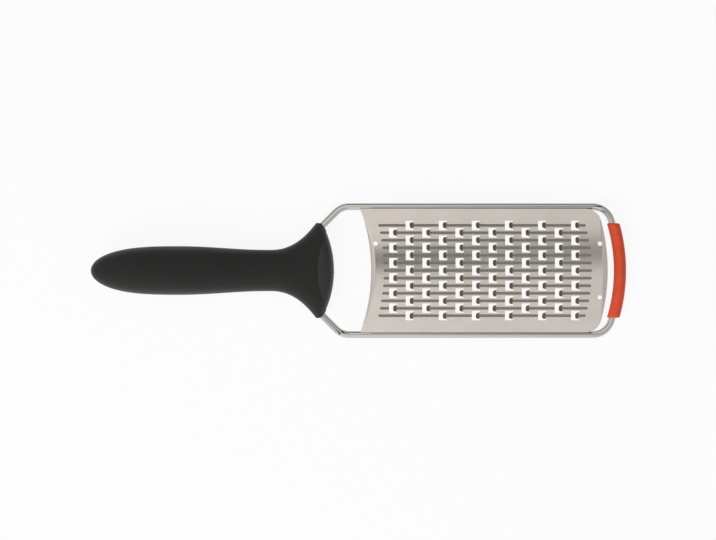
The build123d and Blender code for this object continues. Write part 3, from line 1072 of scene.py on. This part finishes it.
class ZESTER_OT_wire(Operator):
    """Finishes the bent wire frame"""

    bl_idname = "zester.wire"
    bl_label = "Wire frame"

    def execute(self, context):
        """Gives the wire its polish."""
        give(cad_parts["wire_frame"], polished_wire(context.scene.zester_finishes.wire))
        return {"FINISHED"}


class ZESTER_OT_foot(Operator):
    """Draws the foot's sleeve along the bow"""

    bl_idname = "zester.foot"
    bl_label = "Foot"

    def execute(self, context):
        """Draws out a straight sleeve, bores it, slants its ends and bends it to the bow."""
        sizes = context.scene.zester_handle
        rubber = foot_rubber(context.scene.zester_finishes.foot)
        half, radius, rounding = sizes.foot_half_length, sizes.foot_radius, sizes.foot_round
        turns = [i * pi / 2 / FOOT_END_RINGS for i in range(FOOT_END_RINGS + 1)]
        left = [(rounding * (1 - cos(t)) - half, radius - rounding * (1 - sin(t))) for t in turns]
        step = 2 * (half - rounding) / FOOT_MIDDLE_RINGS
        middle = [rounding - half + step * i for i in range(1, FOOT_MIDDLE_RINGS)]
        profile = left + [(x, radius) for x in middle] + [(-x, r) for x, r in reversed(left)]
        sleeve = ringed_body("foot", [(x, r, r) for x, r in profile], FOOT_SIDES)
        give(sleeve, rubber)
        hold(sleeve)
        bpy.ops.object.mode_set(mode="EDIT")
        bpy.ops.mesh.select_all(action="SELECT")
        move(y=FOOT_OFFSET)
        bpy.ops.object.mode_set(mode="OBJECT")
        bore_line = [-half - MM] + middle + [half + MM]
        bore = ringed_body("bore", [(x, WIRE_HOLE, WIRE_HOLE) for x in bore_line], WIRE_HOLE_SIDES)
        give(bore, rubber)
        cut(sleeve, bore)
        for side in (-1, 1):
            weigh(sleeve, "ends", lambda co: -side * co.x * co.y / (BOW_RADIUS + co.y) / (2 * MM))
            push(sleeve, "ends", "X", 2 * side * MM)
        bend = -2 * half / BOW_RADIUS
        apply(sleeve, "SIMPLE_DEFORM", deform_method="BEND", deform_axis="Z", angle=bend)
        sleeve.rotation_euler = (0, 0, -pi / 2)
        sleeve.location.x = BOW_X
        hold(sleeve)
        bpy.ops.object.transform_apply(location=True, rotation=True, scale=True)
        lay_down(sleeve)
        finish_piece(sleeve, "orange_foot", "end_foot", angle=40)
        return {"FINISHED"}


def light_room(scene, strength):
    """Lights the scene from all round, at levels that change along the room's axes."""
    scene.world = bpy.data.worlds.new("soft_room")
    room = Nodes(scene.world)
    direction = room.add("TexCoord").outputs["Generated"]
    tones = []
    for axis, stops in ROOM_LEVELS:
        along = room.add("VectorMath", {0: direction, 1: axis}, operation="DOT_PRODUCT").outputs["Value"]
        across = room.add("Math", {0: along, 1: 0.5, 2: 0.5}, operation="MULTIPLY_ADD").outputs[0]
        ramp = room.add("ValToRGB", {"Fac": across})
        elements = ramp.color_ramp.elements
        for i, (position, level) in enumerate(stops):
            stop = elements[i] if i < 2 else elements.new(position)
            stop.position = position
            stop.color = (level, level, level, 1)
        tones.append(ramp.outputs["Color"])
    light = tones[0]
    for tone in tones[1:]:
        light = room.add("VectorMath", {0: light, 1: tone}, operation="MULTIPLY").outputs[0]
    room.set(room.tree.nodes["Background"], {"Color": light, "Strength": strength})


class ZESTER_OT_stage(Operator):
    """Sets the floor, the soft light and the camera"""

    bl_idname = "zester.stage"
    bl_label = "Stage"

    def execute(self, context):
        """Lays the pale floor and looks straight down on the blade."""
        stage = context.scene.zester_stage
        context.scene.view_settings.view_transform = "Standard"
        let_go()
        bpy.ops.mesh.primitive_plane_add(size=FLOOR_SIZE, location=(0, 0, -FLOOR_DROP))
        floor = context.object
        floor.name = "floor"
        paint = Finish("pale_floor", stage.floor, roughness=0.9)
        output = paint.tree.nodes["Material Output"]
        rays = paint.add("LightPath").outputs
        share = rays["Is Camera Ray"]
        for ray in ("Is Glossy Ray", "Is Transmission Ray"):
            share = paint.add("Math", {0: share, 1: rays[ray]}, operation="MAXIMUM").outputs[0]
        share = paint.add("Math", {0: share, 1: FLOOR_GLOW}, operation="MULTIPLY").outputs[0]
        glow = paint.add("Emission", {"Color": (1, 1, 1, 1), "Strength": 1.0}).outputs[0]
        mix = paint.add("MixShader", {0: share, 1: paint.shader.outputs[0], 2: glow})
        paint.set(output, {"Surface": mix.outputs[0]})
        give(floor, paint.material)
        light_room(context.scene, stage.room)

        for name, place, share in LAMPS:
            bpy.ops.object.light_add(type="AREA", location=place)
            lamp = context.object
            lamp.name = name
            lamp.data.size = LAMP_SIZE
            lamp.data.energy = stage.lamp * share
            lamp.visible_glossy = False
            lamp.rotation_euler = Vector(place).to_track_quat("Z", "Y").to_euler()

        height = stage.view_width * stage.lens / SENSOR_WIDTH + CAMERA_RISE
        bpy.ops.object.camera_add(location=(CAMERA_X, CAMERA_Y, height), rotation=(0, 0, 0))
        camera = context.object
        camera.name = "camera"
        camera.data.lens = stage.lens
        camera.data.sensor_width = SENSOR_WIDTH
        camera.data.clip_end = CAMERA_REACH
        context.scene.camera = camera
        return {"FINISHED"}


class ZESTER_PT_panel(Panel):
    """The zester's sizes, finishes and steps"""

    bl_idname = "ZESTER_PT_panel"
    bl_label = "Rasp Zester"
    bl_space_type = "VIEW_3D"
    bl_region_type = "UI"
    bl_category = "Zester"

    def draw(self, context):
        """Lists the sizes and colours, and a button for each step."""
        scene = context.scene
        for group in (getattr(scene, name) for name in GROUPS):
            box = self.layout.box()
            for name in type(group).__annotations__:
                box.prop(group, name)
        for operator in OPERATORS:
            self.layout.operator(operator.bl_idname)


GROUPS = {
    "zester_blade": ZesterBladeSizes,
    "zester_handle": ZesterHandleSizes,
    "zester_finishes": ZesterFinishes,
    "zester_stage": ZesterStage,
}
OPERATORS = (ZESTER_OT_blade, ZESTER_OT_handle, ZESTER_OT_wire, ZESTER_OT_foot, ZESTER_OT_stage)


def register():
    """Registers the groups of sizes, the operators and the panel."""
    for name, group in GROUPS.items():
        bpy.utils.register_class(group)
        setattr(bpy.types.Scene, name, PointerProperty(type=group))
    for operator in OPERATORS:
        bpy.utils.register_class(operator)
    bpy.utils.register_class(ZESTER_PT_panel)


def unregister():
    """Takes them out again."""
    bpy.utils.unregister_class(ZESTER_PT_panel)
    for operator in reversed(OPERATORS):
        bpy.utils.unregister_class(operator)
    for name, group in reversed(GROUPS.items()):
        delattr(bpy.types.Scene, name)
        bpy.utils.unregister_class(group)


def main():
    """Builds the dressed zester."""
    register()
    bpy.ops.zester.blade()
    bpy.ops.zester.handle()
    bpy.ops.zester.wire()
    bpy.ops.zester.foot()
    bpy.ops.zester.stage()


if __name__ == "__main__":
    main()
